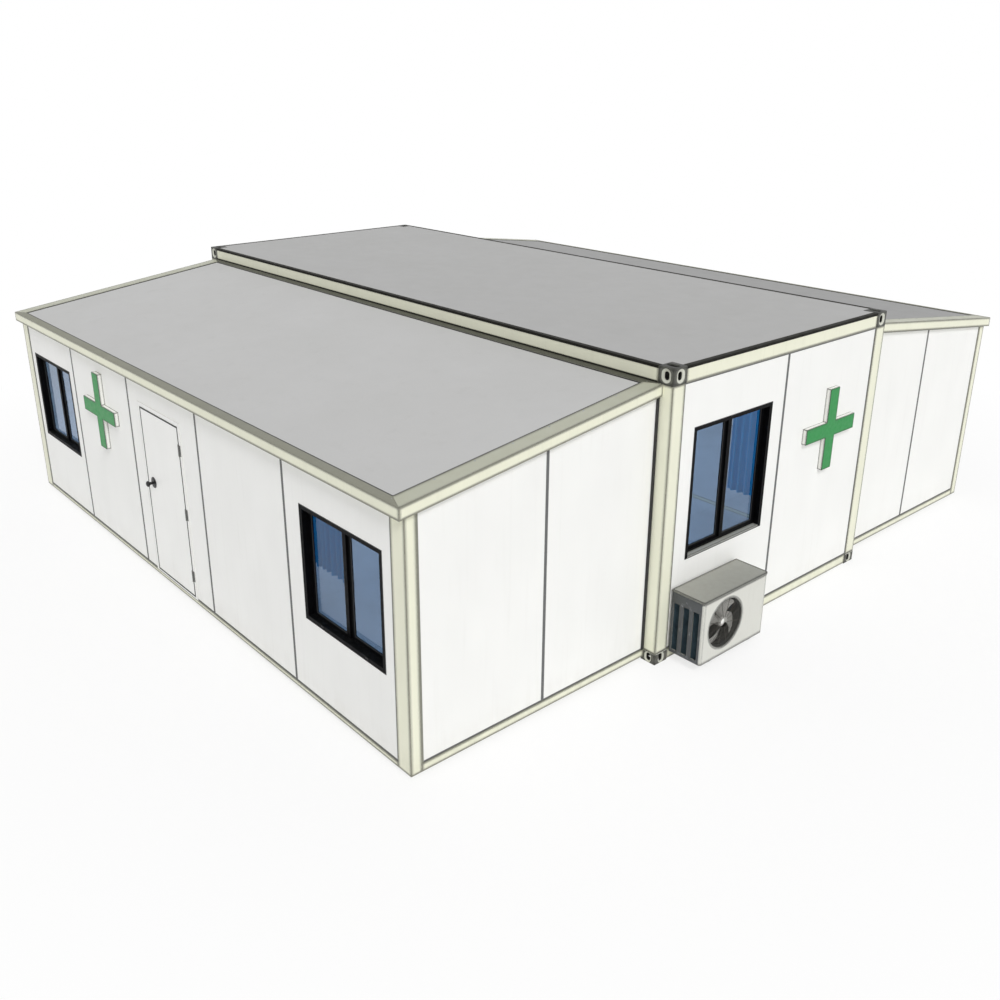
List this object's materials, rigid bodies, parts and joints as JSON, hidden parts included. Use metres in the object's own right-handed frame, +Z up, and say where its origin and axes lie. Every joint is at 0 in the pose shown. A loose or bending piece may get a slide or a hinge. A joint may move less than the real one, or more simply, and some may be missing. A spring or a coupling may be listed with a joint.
{
  "type": "container medical unit",
  "caption": "Expandable container clinic: box core with sloped-roof folding wings on both long sides, hinged door, sliding windows, raised crosses and an outdoor air conditioner.",
  "frame": {"origin": "on the ground, at the middle of the rectangle of the core's four bottom corner castings", "axes": "+X towards the end with the air conditioner, -Y towards the side with the door, +Z up"},
  "size_m": [8.97, 9.2533, 2.945],
  "materials": {
    "ivory_paint": "semi-gloss",
    "panel_skin": "satin",
    "roof_sheet": "matte",
    "casting_paint": "satin",
    "zinc_steel": "satin",
    "black_aluminium": "satin",
    "window_glass": "clear",
    "cross_paint": "gloss",
    "floor_board": "satin",
    "ac_paint": "satin",
    "ac_lid_paint": "satin",
    "coil_fins": "matte",
    "motor_paint": "satin",
    "fan_plastic": "matte",
    "curtain_fabric": "matte"
  },
  "bodies": {
    "building": {"core_posts": "ivory_paint", "bottom_castings": "casting_paint", "top_castings": "casting_paint", "core_base_beams": "ivory_paint", "core_roof_beams": "ivory_paint", "core_headers": "ivory_paint", "core_floor": "floor_board", "core_roof_panel": "roof_sheet", "near_end_wall": "panel_skin", "far_end_wall": "panel_skin", "wing_floors": "floor_board", "front_wing_rails": "ivory_paint", "rear_wing_rails": "ivory_paint", "front_wing_posts": "ivory_paint", "rear_wing_posts": "ivory_paint", "front_wing_end_walls": "panel_skin", "rear_wing_end_walls": "panel_skin", "front_roof_frame": "ivory_paint", "rear_roof_frame": "ivory_paint", "front_roof_panel": "roof_sheet", "rear_roof_panel": "roof_sheet", "wing_feet": "zinc_steel", "front_wall": "panel_skin", "door_wall_sides": "panel_skin", "door_wall_head": "panel_skin", "rear_wall": "panel_skin", "curtain_tracks": "zinc_steel", "privacy_curtains": "curtain_fabric", "window_frames": "black_aluminium", "window_sashes": "black_aluminium", "window_glass": "window_glass", "window_sills": "zinc_steel", "door_frame": "panel_skin", "door_hinges_fixed": "zinc_steel", "wall_crosses": "cross_paint", "ac_casing": "ac_paint", "ac_lid": "ac_lid_paint", "ac_coil": "coil_fins", "ac_motor": "motor_paint", "ac_fan_guard": "ac_paint", "ac_brackets": "zinc_steel"},
    "door": {"door_leaf": "panel_skin", "door_hinges_moving": "zinc_steel"},
    "knob": {"door_knob": "zinc_steel"},
    "fan": {"ac_fan": "fan_plastic"}
  },
  "joints": [
    {"name": "door_swing", "type": "hinge", "parent": "building", "child": "door", "pos_m": [0.345, -4.558, 1.061], "axis": [0, 0, 1], "range_deg": [0, 110]},
    {"name": "knob_turn", "type": "hinge", "parent": "door", "child": "knob", "pos_m": [-0.412, -4.55, 1.19], "axis": [0, 1, 0], "range_deg": [-60, 60]},
    {"name": "fan_spin", "type": "hinge", "parent": "building", "child": "fan", "pos_m": [4.607, -1.218, 0.439], "axis": [1, 0, 0], "continuous": true}
  ]
}
